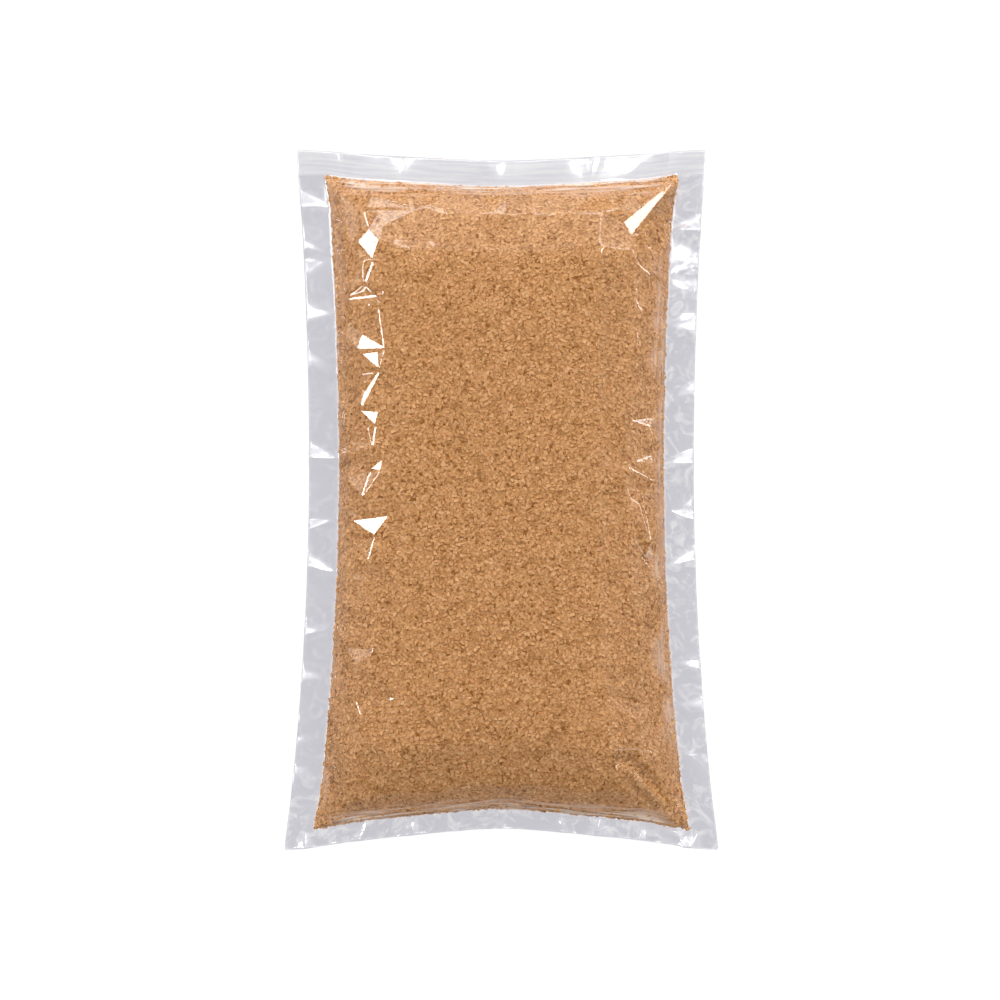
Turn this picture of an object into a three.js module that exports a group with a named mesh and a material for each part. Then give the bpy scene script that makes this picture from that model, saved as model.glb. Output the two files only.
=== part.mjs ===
// A clear plastic pouch of breadcrumbs, sealed along all four sides and lying on its back.
// Two flat sheets of film are welded together in a band round the edge. Between them the
// crumbs swell the pouch into a low, broad cushion with four pointed corners. The cushion
// draws the sides in, so the welded band buckles outwards in small cones and the film over
// the shoulders puckers in between.
// Millimetres. X runs across the pouch, Y from its foot to its head and Z up. The origin is
// in the middle of the footprint, on the surface that the pouch lies on.

import * as THREE from "three";

// The outline, from weld corner to weld corner.
const HEAD_WIDTH = 204; // across the two head corners
const FOOT_WIDTH = 216; // across the two foot corners
const WAIST_WIDTH = 191; // where the filling draws the sides in most
const WAIST_AT = 18; // how far the waist lies above the middle
const LENGTH = 349; // from the foot corners to the head corners
const HEAD_DIP = 6; // how far the middle of the head edge hangs back from its corners
const FOOT_DIP = 11.5; // and the middle of the foot edge
const SIDE_BOW = 2; // power of the curve from the waist to a corner
const END_BOW = 1.35; // power of the curve from the middle of an end to a corner

// The welded band.
const SIDE_BAND = 14.5;
const HEAD_BAND = 13;
const FOOT_BAND = 9.5;
const BAND_THICKNESS = 0.8;
const BAND_DROOP = 2.5; // how far the band's free edge hangs below the weld

// The cushion of crumbs.
const THICKNESS = 46;
const SEAM_HEIGHT = 20; // of the weld's inner line, at the middle of a side
const CORNER_SEAM_HEIGHT = 9; // and at a corner
const CORNER_POWER = 3; // how near the corners the weld sinks
const TOP_SHOULDER = 42; // from the weld to where the top is level
const END_SHOULDER = 50; // the same, at the head and the foot
const UNDER_SHOULDER = 30; // from the weld to where the underside lies flat
const SHOULDER_POWER = 2.3; // roundness of a shoulder
const SHOULDER_LIFT = 0.74; // how steeply the film leaves the weld: under 1 is steep
const CORNER_HIP = 0.5; // 0 for soft corners, 1 for a sharp hip line to each corner
const CROWN = 0.05; // extra height of the middle, as a share of the thickness

// Buckles of the band, as places along each edge, and the puckers they start in the film.
const LEFT_BUCKLES = [146, 121, 92, 62, 20, -10, -37, -65, -89, -116, -137];
const RIGHT_BUCKLES = [134, 112, 86, 47, 17, -5, -34, -82, -103, -126];
const HEAD_BUCKLES = [-78, -51, -7, 43, 82];
const FOOT_BUCKLES = [-66, -22, 26, 70];
const BUCKLE_RISE = 2.8; // height of a buckle at the free edge
const BUCKLE_SPREAD = 8; // half its width there
const BUCKLE_APEX = 0.3; // share of that width left at the weld
const BUCKLE_PULL = 0.9; // how far a buckle draws the free edge in
const PUCKER_DEPTH = 2.3; // depth of the dents that run in from the weld
const PUCKER_LENGTH = 34;
const PUCKER_SPREAD = 7.5; // half the width of a dent at the weld, and it doubles inwards
const PUCKER_POWER = 0.7; // under 1 brings the deepest place nearer the weld
const PUCKER_UNEVEN = 0.3; // share of the depth that differs from dent to dent
const PUCKER_TURN = 2.4; // radians from one dent to the next in that unevenness

// A crease that runs in from each corner, where the film of two edges meets.
const CREASE_DEPTH = 2.6;
const CREASE_LENGTH = 62;
const CREASE_SPREAD = 7; // half its width midway, and it widens inwards
const CREASE_APEX = 0.6; // share of that width at the corner
const CREASE_POWER = 0.8; // under 1 brings the deepest place nearer the corner

// Slow unevenness of the filling.
const LUMP_HEIGHT = 0.9;
const LUMP_ACROSS = 61; // wavelengths
const LUMP_ALONG = 87;

// The grid of film points: cells across the band, over a shoulder, and their middle pitch.
const BAND_CELLS = 3;
const SHOULDER_CELLS = 8;
const PITCH = 4.9;
const CELL_GROWTH = 1.6; // shoulder cells widen away from the weld by this power

const FILM_COLOUR = 0xbd8c5e; // the crumbs, as seen through the film

// 1 at the middle of a dent or buckle and 0 from its rim outwards, smooth at both.
function bump(t) {
  const s = Math.min(Math.abs(t), 1);
  return (1 - s * s) ** 2;
}

// A value that runs from 0 to 1 as t does, level at both ends.
function ease(t) {
  return THREE.MathUtils.smoothstep(t, 0, 1);
}

// How far a sheet has left the weld at this distance from it: 0 at the weld, 1 past a shoulder.
function shoulder(distance, width) {
  const left = 1 - Math.min(distance / width, 1);
  return (1 - left ** SHOULDER_POWER) ** SHOULDER_LIFT;
}

// Two shoulders meeting at a corner, between a soft product and a hip line.
function meet(one, other) {
  return THREE.MathUtils.lerp(one * other, Math.min(one, other), CORNER_HIP);
}

// Half the pouch's width, out to the free edge. along runs from -1 at the foot to 1 at the head.
function halfWidth(along) {
  const waist = (2 * WAIST_AT) / LENGTH;
  const towardsHead = along > waist;
  const share = (along - waist) / (towardsHead ? 1 - waist : -1 - waist);
  const corner = towardsHead ? HEAD_WIDTH : FOOT_WIDTH;
  return THREE.MathUtils.lerp(WAIST_WIDTH, corner, share ** SIDE_BOW) / 2;
}

// The free edge's distance from the middle, at the head or the foot. across runs from -1 to 1.
function halfLength(across, atHead) {
  return LENGTH / 2 - (atHead ? HEAD_DIP : FOOT_DIP) * (1 - Math.abs(across) ** END_BOW);
}

// Grid places from one free edge to the other. A place from -1 to 1 is a share of the cushion,
// and the next 1 on either side is the share of the band passed on the way out.
function gridPlaces(halfCushion, shoulderWidth) {
  const level = halfCushion - shoulderWidth;
  const levelCells = Math.round(level / PITCH);
  const half = [];
  for (let i = 0; i < levelCells; i += 1) half.push(((i / levelCells) * level) / halfCushion);
  for (let i = SHOULDER_CELLS; i > 0; i -= 1) {
    const toWeld = (i / SHOULDER_CELLS) ** CELL_GROWTH * shoulderWidth;
    half.push(1 - toWeld / halfCushion);
  }
  for (let i = 0; i <= BAND_CELLS; i += 1) half.push(1 + i / BAND_CELLS);
  return [...half.slice(1).reverse().map((place) => -place), ...half];
}

// The height of the band's buckles at a point of the band. out is 0 at the weld and 1 outside.
function buckling(places, position, out) {
  const spread = BUCKLE_SPREAD * THREE.MathUtils.lerp(BUCKLE_APEX, 1, out);
  return places.reduce((height, place, i) => {
    const way = i % 2 ? -1 : 1;
    return height + way * out * bump((position - place) / spread);
  }, 0);
}

// The depth of the puckers at a point of the film, distance in from the weld.
function puckering(places, position, distance) {
  const run = Math.sin(Math.PI * Math.min(distance / PUCKER_LENGTH, 1) ** PUCKER_POWER);
  const spread = PUCKER_SPREAD * (1 + distance / PUCKER_LENGTH);
  return places.reduce((depth, place, i) => {
    const strength = 1 - PUCKER_UNEVEN * (1 - Math.cos(PUCKER_TURN * i));
    return depth + strength * run * bump((position - place) / spread);
  }, 0);
}

// The depth of a corner's crease at these distances in from the side's weld and the end's.
function creasing(fromSide, fromEnd) {
  const run = (fromSide + fromEnd) / (2 * CREASE_LENGTH);
  if (run >= 1) return 0;
  const off = (fromSide - fromEnd) / (CREASE_SPREAD * (CREASE_APEX + run));
  return CREASE_DEPTH * Math.sin(Math.PI * run ** CREASE_POWER) * bump(off);
}

// Where a point of the pouch lies. across and along are grid places, and upper is true for
// the top sheet.
function filmPoint(across, along, upper) {
  const inX = THREE.MathUtils.clamp(across, -1, 1);
  const inY = THREE.MathUtils.clamp(along, -1, 1);
  const outX = Math.abs(across - inX);
  const outY = Math.abs(along - inY);
  const atHead = along > 0;
  const endBand = atHead ? HEAD_BAND : FOOT_BAND;

  // Shares of the whole pouch, band included.
  const halfCushionX = WAIST_WIDTH / 2 - SIDE_BAND;
  const halfCushionY = LENGTH / 2 - endBand;
  const wholeX = (Math.abs(inX) * halfCushionX + outX * SIDE_BAND) / (WAIST_WIDTH / 2);
  const wholeY = (Math.abs(inY) * halfCushionY + outY * endBand) / (LENGTH / 2);

  const weldX = halfWidth(Math.sign(along) * wholeY) - SIDE_BAND;
  const weldY = halfLength(wholeX, atHead) - endBand;
  const x = Math.sign(across) * (Math.abs(inX) * weldX + outX * SIDE_BAND);
  const y = Math.sign(along) * (Math.abs(inY) * weldY + outY * endBand);

  const sideBuckles = across > 0 ? RIGHT_BUCKLES : LEFT_BUCKLES;
  const endBuckles = atHead ? HEAD_BUCKLES : FOOT_BUCKLES;
  const sideRise = buckling(sideBuckles, y, outX);
  const endRise = buckling(endBuckles, x, outY);

  // The weld's own height, which sinks to the corners, and the band beyond it.
  const cornered = ease(Math.abs(inX) ** CORNER_POWER) * ease(Math.abs(inY) ** CORNER_POWER);
  const seam = THREE.MathUtils.lerp(SEAM_HEIGHT, CORNER_SEAM_HEIGHT, cornered);
  const droop = BAND_DROOP * Math.max(outX, outY) ** 2;
  const middle = seam - droop + BUCKLE_RISE * (sideRise + endRise);

  const fromSide = (1 - Math.abs(inX)) * weldX;
  const fromEnd = (1 - Math.abs(inY)) * weldY;
  const drawnX = x - Math.sign(x) * BUCKLE_PULL * Math.abs(sideRise) * outX;
  const drawnY = y - Math.sign(y) * BUCKLE_PULL * Math.abs(endRise) * outY;

  if (!upper) {
    const under = middle - BAND_THICKNESS / 2;
    const fall = meet(shoulder(fromSide, UNDER_SHOULDER), shoulder(fromEnd, UNDER_SHOULDER));
    return new THREE.Vector3(drawnX, drawnY, under * (1 - fall));
  }

  const over = middle + BAND_THICKNESS / 2;
  const rise = meet(shoulder(fromSide, TOP_SHOULDER), shoulder(fromEnd, END_SHOULDER));
  const crown = 1 + CROWN * (1 - inX ** 2) * (1 - inY ** 2);
  const lumps =
    LUMP_HEIGHT *
    (Math.sin((2 * Math.PI * x) / LUMP_ACROSS + y / LUMP_ALONG) +
      Math.cos((2 * Math.PI * y) / LUMP_ALONG - x / LUMP_ACROSS));
  const dents =
    PUCKER_DEPTH *
    (puckering(sideBuckles, y, fromSide) * shoulder(fromEnd, END_SHOULDER) +
      puckering(endBuckles, x, fromEnd) * shoulder(fromSide, TOP_SHOULDER));
  const top = (THICKNESS * crown) / (1 + CROWN) + lumps * rise;
  const height = over + (top - over) * rise - dents - creasing(fromSide, fromEnd);
  return new THREE.Vector3(drawnX, drawnY, height);
}

// The whole pouch: a box with a grid on both broad faces, its points moved to the film's.
function pouchGeometry() {
  const across = gridPlaces(WAIST_WIDTH / 2 - SIDE_BAND, TOP_SHOULDER);
  const along = gridPlaces(LENGTH / 2 - HEAD_BAND, END_SHOULDER);
  const columns = across.length - 1;
  const rows = along.length - 1;
  const geometry = new THREE.BoxGeometry(columns, rows, 1, columns, rows, 1);
  const corners = geometry.getAttribute("position");
  for (let i = 0; i < corners.count; i += 1) {
    const column = Math.round(corners.getX(i) + columns / 2);
    const row = Math.round(corners.getY(i) + rows / 2);
    const point = filmPoint(across[column], along[row], corners.getZ(i) > 0);
    corners.setXYZ(i, point.x, point.y, point.z);
  }
  geometry.computeBoundingBox();
  const box = geometry.boundingBox;
  const middle = box.getCenter(new THREE.Vector3());
  geometry.translate(-middle.x, -middle.y, -box.min.z);
  geometry.computeVertexNormals();
  return geometry;
}

const film = new THREE.MeshStandardMaterial({
  color: FILM_COLOUR,
  roughness: 0.25,
  metalness: 0,
});

const bag = new THREE.Mesh(pouchGeometry(), film);
bag.name = "bag";

const breadcrumbBag = new THREE.Group();
breadcrumbBag.add(bag);

export default breadcrumbBag;
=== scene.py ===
"""The looks of a clear pouch of breadcrumbs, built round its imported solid.

The pouch is two flat sheets of film, welded together in a band round the edge. It is filled and
laid down by a cloth simulation. Inside it lies the mass of crumbs, covered with loose grains.
Metres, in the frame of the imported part: X across the pouch, Y from its foot to its head, Z up.
"""

import math

import bmesh
import bpy
import numpy as np
from mathutils import Matrix, Vector, geometry, noise
from mathutils.bvhtree import BVHTree


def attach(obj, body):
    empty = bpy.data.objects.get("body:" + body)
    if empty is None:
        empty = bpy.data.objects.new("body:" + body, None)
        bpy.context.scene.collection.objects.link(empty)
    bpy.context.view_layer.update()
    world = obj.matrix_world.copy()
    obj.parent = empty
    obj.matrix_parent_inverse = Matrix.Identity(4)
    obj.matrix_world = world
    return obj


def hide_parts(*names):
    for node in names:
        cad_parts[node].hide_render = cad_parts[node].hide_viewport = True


MM = 0.001
SIM = 10.0  # the cloth is simulated at ten times its size, where the solver is at its best

# The outline of the filled pouch, in millimetres, as in the part's source.
HEAD_WIDTH = 204
FOOT_WIDTH = 216
WAIST_WIDTH = 191
WAIST_AT = 18
LENGTH = 349
HEAD_DIP = 6
FOOT_DIP = 11.5
SIDE_BOW = 2
END_BOW = 1.35
SIDE_BAND = 14.5
HEAD_BAND = 13
FOOT_BAND = 9.5
THICKNESS = 46
SEAM_HEIGHT = 20
CORNER_SEAM_HEIGHT = 9
TOP_SHOULDER = 42
END_SHOULDER = 50
UNDER_SHOULDER = 30
SHOULDER_POWER = 2.3
SHOULDER_LIFT = 0.74

# The flat pouch before it was filled, and the cells of its cloth.
FLAT_WIDTH = 218
FLAT_LENGTH = 360
CELL = 3.75
MIDDLE_CELL = 8.0
MIDDLE_HALF = 47
TOUCH = 0.01  # places that lie this close together are the same

# How the cloth is laid down: it starts just off the table, and its corners are held.
FRAMES = 24
START_LIFT = 0.6
CORNER_HOLD = 26
LID_GAP = 1.2
FIRM_INSET = 7
FIRM_SINK = 4
FIRM_LEVEL = 0.4

# Places along each edge, in millimetres, where the welded band buckles.
LEFT_BUCKLES = (146, 121, 92, 62, 20, -10, -37, -65, -89, -116, -137)
RIGHT_BUCKLES = (134, 112, 86, 47, 17, -5, -34, -82, -103, -126)
HEAD_BUCKLES = (-78, -51, -7, 43, 82)
FOOT_BUCKLES = (-66, -22, 26, 70)
FOOT_FOLDS = (-98, -84, -66, -47, -22, 3, 26, 49, 70, 86, 98)
BUCKLE_RISE = 2.6
BUCKLE_SPREAD = 7.0
PUCKER_DEPTH = 1.2
PUCKER_LENGTH = 40
PUCKER_SPREAD = 4.0
TIP_PULL = 1.5  # of the panel's corners, towards the corners of the pouch
TIP_SPREAD = 12

# Creases that run inwards from the weld: place along the edge, reach and slant, in millimetres.
CREASES = {
    "left": (
        (146, 13, -3), (100, 26, 3), (88, 15, -4), (74, 16, 0), (58, 12, 4), (44, 11, 0),
        (30, 16, -4), (17, 20, 2), (3, 14, -3), (-10, 12, 2), (-26, 16, -4), (-44, 12, 3),
        (-60, 18, 0), (-78, 21, 5), (-96, 13, -3), (-114, 17, 0), (-132, 13, 3),
    ),
    "right": (
        (142, 13, -2), (125, 13, 0), (108, 17, -4), (90, 13, 3), (74, 15, 0), (58, 13, -3),
        (40, 21, 0), (24, 15, -6), (10, 20, -4), (-4, 13, 2), (-22, 17, 4), (-40, 19, 5),
        (-58, 13, 0), (-78, 15, 3), (-98, 13, -3), (-118, 19, -5), (-136, 13, 2),
    ),
    "head": (
        (-70, 13, 3), (-52, 15, 3), (-34, 12, -2), (-18, 15, 3), (-5, 13, 0), (12, 14, 2),
        (30, 15, -4), (46, 13, 4), (64, 14, 5),
    ),
    "foot": (
        (-74, 13, 5), (-54, 14, -3), (-36, 12, 2), (-18, 14, 0), (2, 12, 2), (20, 14, -2),
        (38, 13, 3), (56, 15, -6), (76, 13, 4),
    ),
}
CREASE_DEPTH = 1.8
BULGE = 0.5
INNER_EDGE = 36  # where the facets of the shoulder end
# Long ridges in the film of the shoulder.
RIDGES = (
    ((-87.5, 160), (-78, 152), (-68.5, 143)),
    ((-60, 100.5), (-50, 103.5)),
    ((92.5, -163), (86, -154.5), (73.5, -142.5), (58, -129)),
    ((-93.5, -162), (-77.5, -148.5)),
)
# Facets that are stretched flat between two creases, each turned to one of the lights.
FACETS = (
    ("left_softbox", ((-65.5, 134), (-60, 128), (-63.5, 118), (-71.5, 127.5))),
    ("left_softbox", ((-68.7, 142.5), (-67.2, 142.6), (-64.9, 134.6), (-66.3, 134.4))),
    ("left_softbox", ((-63.9, 117.4), (-62.5, 117.2), (-66.3, 107), (-67.8, 107.3))),
    ("left_softbox", ((-67.7, 106.9), (-66.7, 106.2), (-74.6, 100.1), (-75.5, 101.4))),
    ("left_softbox", ((-75.2, 98.4), (-75, 99.7), (-61, 101), (-60.9, 99.6))),
    ("left_softbox", ((-69, 82), (-57, 74.5), (-71.5, 74.5))),
    ("left_softbox", ((-69, 72), (-60.5, 73), (-60, 64.5))),
    ("left_softbox", ((-61, 63.2), (-59.7, 62.6), (-68.4, 45.9), (-69.8, 46.6))),
    ("left_softbox", ((-70, 44.5), (-60, 43.5), (-62, 37))),
    ("left_softbox", ((-62.6, 36.4), (-61.2, 36.2), (-62.6, 26.8), (-63.9, 27))),
    ("left_softbox", ((-58, 20.5), (-59.5, 14.5), (-65, 15))),
    ("left_softbox", ((-65.2, 14.2), (-63.8, 13.6), (-68, 2), (-69.4, 2.5))),
    ("left_softbox", ((-74, -10), (-55, -7.5), (-62.5, -17.5))),
    ("left_softbox", ((-63.3, -18.4), (-61.9, -18.2), (-65, -29.4), (-66.3, -29))),
    ("left_wall", ((-81, 153), (-71, 143), (-70, 134), (-74, 125), (-78.5, 140))),
    ("left_wall", ((-78, -72.5), (-64.5, -76.5), (-71.5, -81.5))),
    ("head_wall", ((-66, 144), (-64.5, 150), (-42, 143.5))),
    ("head_right_lamp", ((88.5, 160.5), (66, 142), (60, 137), (64, 130))),
    ("foot_right_softbox", ((57.5, -128), (62, -128.5), (91, -160), (87, -160))),
    ("right_softbox", ((73.4, 124.5), (74.8, 124.5), (76.3, 110.8), (74.9, 110.6))),
    ("right_softbox", ((75, 110), (76.4, 110.2), (80.3, 99.5), (78.9, 99.2))),
    ("right_softbox", ((63.5, 39), (79, 41), (74, 36))),
    ("right_softbox", ((76.2, 8.3), (76, 9.7), (62.4, 16.9), (62.2, 15.5))),
    ("right_softbox", ((68.5, 3.9), (69.9, 3.8), (74.3, -19.6), (72.9, -19.8))),
    ("right_softbox", ((68.6, -28.4), (69.9, -28), (78.5, -39.9), (77.4, -40.8))),
)
# Small dents and bumps beside the facets, and how far the film is lifted there.
NUDGES = (
    ((-67.8, 103), -0.8),
    ((-67, 57.5), 0.7),
    ((-68, 117), 0.7),
    ((-58.5, 135.5), -0.8),
    ((-65, 96), 0.6),
)
REFINED_MARGIN = 0.6  # round the facets, where the film has finer faces
MARK_GAP = 3.5  # between the points of the creases
WELD_SHARPNESS = 0.8
SKIN_GAP = 0.15  # between the two skins of the welded band

# The sharp folds in the welded band and the crinkles beside it.
FOLD_STEEPNESS = 0.52
FOLD_SPREAD = 7.5
FOLD_SLANT = 5
FOLD_DROOP = 1.5
HEAD_FOLD_SHARE = 0.35
FOOT_FOLD_SHARE = 0.8
CRINKLE = 0.05
CRINKLE_SIZE = 17

# The mass of crumbs, and how far it stays from the film.
CORE_INSET = 1.0
WELD_INSET = 0.45
INSET_RUN = 8
EVENED_FROM = 6
LUMP_SIZE = 2.6
LUMP_HEIGHT = 0.25

# The loose crumbs: name, size, bend, number in a square millimetre and least spacing.
CRUMBS = (
    ("flake", (2.4, 1.1, 0.55), 0.22, 0.19, 1.35),
    ("curl", (2.8, 0.85, 0.55), 0.5, 0.19, 1.35),
    ("chip", (1.7, 1.2, 0.9), 0, 0.28, 1.1),
    ("morsel", (1.9, 1.4, 1.0), 0, 0.28, 1.1),
)
CRUMB_ROUGHNESS = 0.16  # of its corners, as a share of its size
CRUMB_TAPER = 0.45
CRUMB_TILT = 0.45
CRUMB_SCALES = (0.6, 1.3)
BURNT_SHRINK = -0.2
BACK_FACING = (-0.75, -0.3)  # the slopes of the back over which the loose crumbs thin out
HOLLOW_SPACING = 5.0  # between the small hollows among the crumbs, dark with the painted shade of the mass below
HOLLOW_SIZES = (0.08, 0.22)
CRUMB_COLOURS = (
    (0.38, 0.158, 0.038),
    (0.61, 0.314, 0.115),
    (0.73, 0.392, 0.158),
    (0.78, 0.44, 0.2),
    (0.85, 0.522, 0.262),
)
BURNT_COLOUR = (0.36, 0.135, 0.02)
BURNT_SHARE = 0.05
# The mass under the loose crumbs has a darker tone, as painted shade for the gaps between them.
MASS_PAINTED_SHADE_TONE = 0.2
MASS_RELIEF = 0.8
CRUMB_RELIEF = 0.3

# What the film lets through, where it is clear and where it is welded, with painted light in the lighter
# head and swirl tints, and the colour of the pale coat beside the welds, partly crumb dust and partly
# painted sheen.
CLEAR_TINT = (0.97, 0.97, 0.975)
SIDE_TINT = (0.88, 0.877, 0.91)
HEAD_PAINTED_LIGHT_TINT = (0.93, 0.925, 0.955)
STREAK_TINT = (0.97, 0.97, 0.98)
DULL_TINT = (0.868, 0.865, 0.9)
SWIRL_PAINTED_LIGHT_TINT = (0.97, 0.97, 0.985)
DUST_AND_SHEEN_COLOUR = (0.93, 0.72, 0.58)
FILM_GLOSS = 0.075
FILM_ROUGHNESS = 0.05
BAND_ROUGHNESS = 0.12

# The lights of the studio: place, size and radiance.
SOFTBOXES = {
    "left_softbox": ((-1.23, 0.42, 0.86), (0.6, 0.2), 14),
    "left_wall": ((-1.35, 0.45, 0.3), (0.6, 0.3), 1.0),
    "right_softbox": ((1.5, 0.5, 0.3), (0.7, 0.1), 8),
    "head_left_softbox": ((-0.55, 1.35, 1.0), (0.9, 0.45), 3),
    "head_right_softbox": ((0.55, 1.35, 1.0), (0.9, 0.45), 2.4),
    "head_right_lamp": ((0.52, 0.76, 1.28), (0.28, 0.28), 11),
    "head_wall": ((-0.3, 1.5, 0.55), (0.6, 0.3), 2),
    "foot_left_softbox": ((-0.9, -0.8, 1.0), (0.7, 0.4), 0.1),
    "foot_right_softbox": ((0.9, -0.8, 1.0), (0.4, 0.3), 2.2),
}
LIT_PLACE = (0, 0.05, 0)
FLOOR_SHADE = 0.12

# The camera, in metres.
VIEW_DISTANCE = 2.5
VIEW_WIDTH = 0.497
VIEW_MIDDLE = -0.0007
WELD_LEVEL = 0.015
SENSOR = 36

TOP, BAND, UNDER = 0, 1, 2  # the regions of the film


def bump(t):
    """1 in the middle of a dent and 0 from its rim outwards."""
    s = np.minimum(np.abs(t), 1)
    return (1 - s * s) ** 2


def ease(t):
    t = np.clip(t, 0, 1)
    return t * t * (3 - 2 * t)


def shoulder(distance, width):
    """How far a sheet has left the weld at this distance from it."""
    left = 1 - np.minimum(distance / width, 1)
    return (1 - left**SHOULDER_POWER) ** SHOULDER_LIFT


def meet(one, other):
    return (one * other + np.minimum(one, other)) / 2


def half_width(along):
    """Half the pouch's width where along runs from -1 at the foot to 1 at the head."""
    waist = 2 * WAIST_AT / LENGTH
    head = along > waist
    share = (along - waist) / np.where(head, 1 - waist, -1 - waist)
    corner = np.where(head, HEAD_WIDTH, FOOT_WIDTH)
    return (WAIST_WIDTH + (corner - WAIST_WIDTH) * share**SIDE_BOW) / 2


def half_length(across, head):
    dip = np.where(head, HEAD_DIP, FOOT_DIP)
    return LENGTH / 2 - dip * (1 - np.abs(across) ** END_BOW)


def buckling(places, position, out):
    spread = BUCKLE_SPREAD * (0.3 + 0.7 * out)
    height = 0
    for i, place in enumerate(places):
        height = height + (-1) ** i * out * bump((position - place) / spread)
    return height


def puckering(places, position, distance):
    run = np.sin(math.pi * np.minimum(distance / PUCKER_LENGTH, 1) ** 0.7)
    spread = PUCKER_SPREAD * (1 + distance / PUCKER_LENGTH)
    depth = 0
    for i, place in enumerate(places):
        strength = 1 - 0.3 * (1 - math.cos(2.4 * i))
        depth = depth + strength * run * bump((position - place) / spread)
    return depth


def filled_place(flat, upper, rise=BUCKLE_RISE, dent=PUCKER_DEPTH, thickness=THICKNESS):
    """Where points of the flat pouch go when it is filled, all in millimetres."""
    u, v = flat[:, 0], flat[:, 1]
    head = v > 0
    band = np.where(head, HEAD_BAND, FOOT_BAND)
    inner_x = FLAT_WIDTH / 2 - SIDE_BAND
    inner_y = FLAT_LENGTH / 2 - band
    in_x = np.minimum(np.abs(u) / inner_x, 1)
    in_y = np.minimum(np.abs(v) / inner_y, 1)
    out_x = np.maximum(np.abs(u) - inner_x, 0) / SIDE_BAND
    out_y = np.maximum(np.abs(v) - inner_y, 0) / band
    whole_x = (in_x * (WAIST_WIDTH / 2 - SIDE_BAND) + out_x * SIDE_BAND) / (WAIST_WIDTH / 2)
    whole_y = (in_y * (LENGTH / 2 - band) + out_y * band) / (LENGTH / 2)
    weld_x = half_width(np.sign(v) * whole_y) - SIDE_BAND
    weld_y = half_length(whole_x, head) - band
    x = np.sign(u) * (in_x * weld_x + out_x * SIDE_BAND)
    y = np.sign(v) * (in_y * weld_y + out_y * band)
    from_side = (1 - in_x) * weld_x
    from_end = (1 - in_y) * weld_y

    side_rise = np.where(u > 0, buckling(RIGHT_BUCKLES, y, out_x), buckling(LEFT_BUCKLES, y, out_x))
    end_rise = np.where(head, buckling(HEAD_BUCKLES, x, out_y), buckling(FOOT_BUCKLES, x, out_y))
    seam = SEAM_HEIGHT + (CORNER_SEAM_HEIGHT - SEAM_HEIGHT) * ease(in_x**3) * ease(in_y**3)
    middle = seam + rise * (side_rise + end_rise)

    side_shoulder = shoulder(from_side, TOP_SHOULDER)
    end_shoulder = shoulder(from_end, END_SHOULDER)
    over = seam + (thickness - seam) * meet(side_shoulder, end_shoulder)
    right_dents, left_dents = (puckering(places, y, from_side) for places in (RIGHT_BUCKLES, LEFT_BUCKLES))
    head_dents, foot_dents = (puckering(places, x, from_end) for places in (HEAD_BUCKLES, FOOT_BUCKLES))
    side_dents = np.where(u > 0, right_dents, left_dents)
    end_dents = np.where(head, head_dents, foot_dents)
    over = over - dent * (side_dents * end_shoulder + end_dents * side_shoulder)
    under = seam * (1 - meet(shoulder(from_side, UNDER_SHOULDER), shoulder(from_end, UNDER_SHOULDER)))
    z = np.where(upper, over, under)
    z = np.where((out_x > 0) | (out_y > 0), middle, z)
    return np.stack([x, y, z], axis=1)


def grid_lines(stretches):
    """Places of the cloth's threads: stretches of a width and a cell size, one after the other."""
    places = [-sum(width for width, _ in stretches) / 2]
    for width, cell in stretches:
        start = places[-1]
        count = max(2, round(width / cell))
        places += [start + width * (i + 1) / count for i in range(count)]
    return np.array(places)


def read_all(items, key, width=3):
    values = np.zeros(len(items) * width)
    items.foreach_get(key, values)
    return values.reshape(-1, width) if width > 1 else values


def finished_mesh(name, bm):
    mesh = bpy.data.meshes.new(name)
    bm.to_mesh(mesh)
    bm.free()
    return mesh


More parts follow.
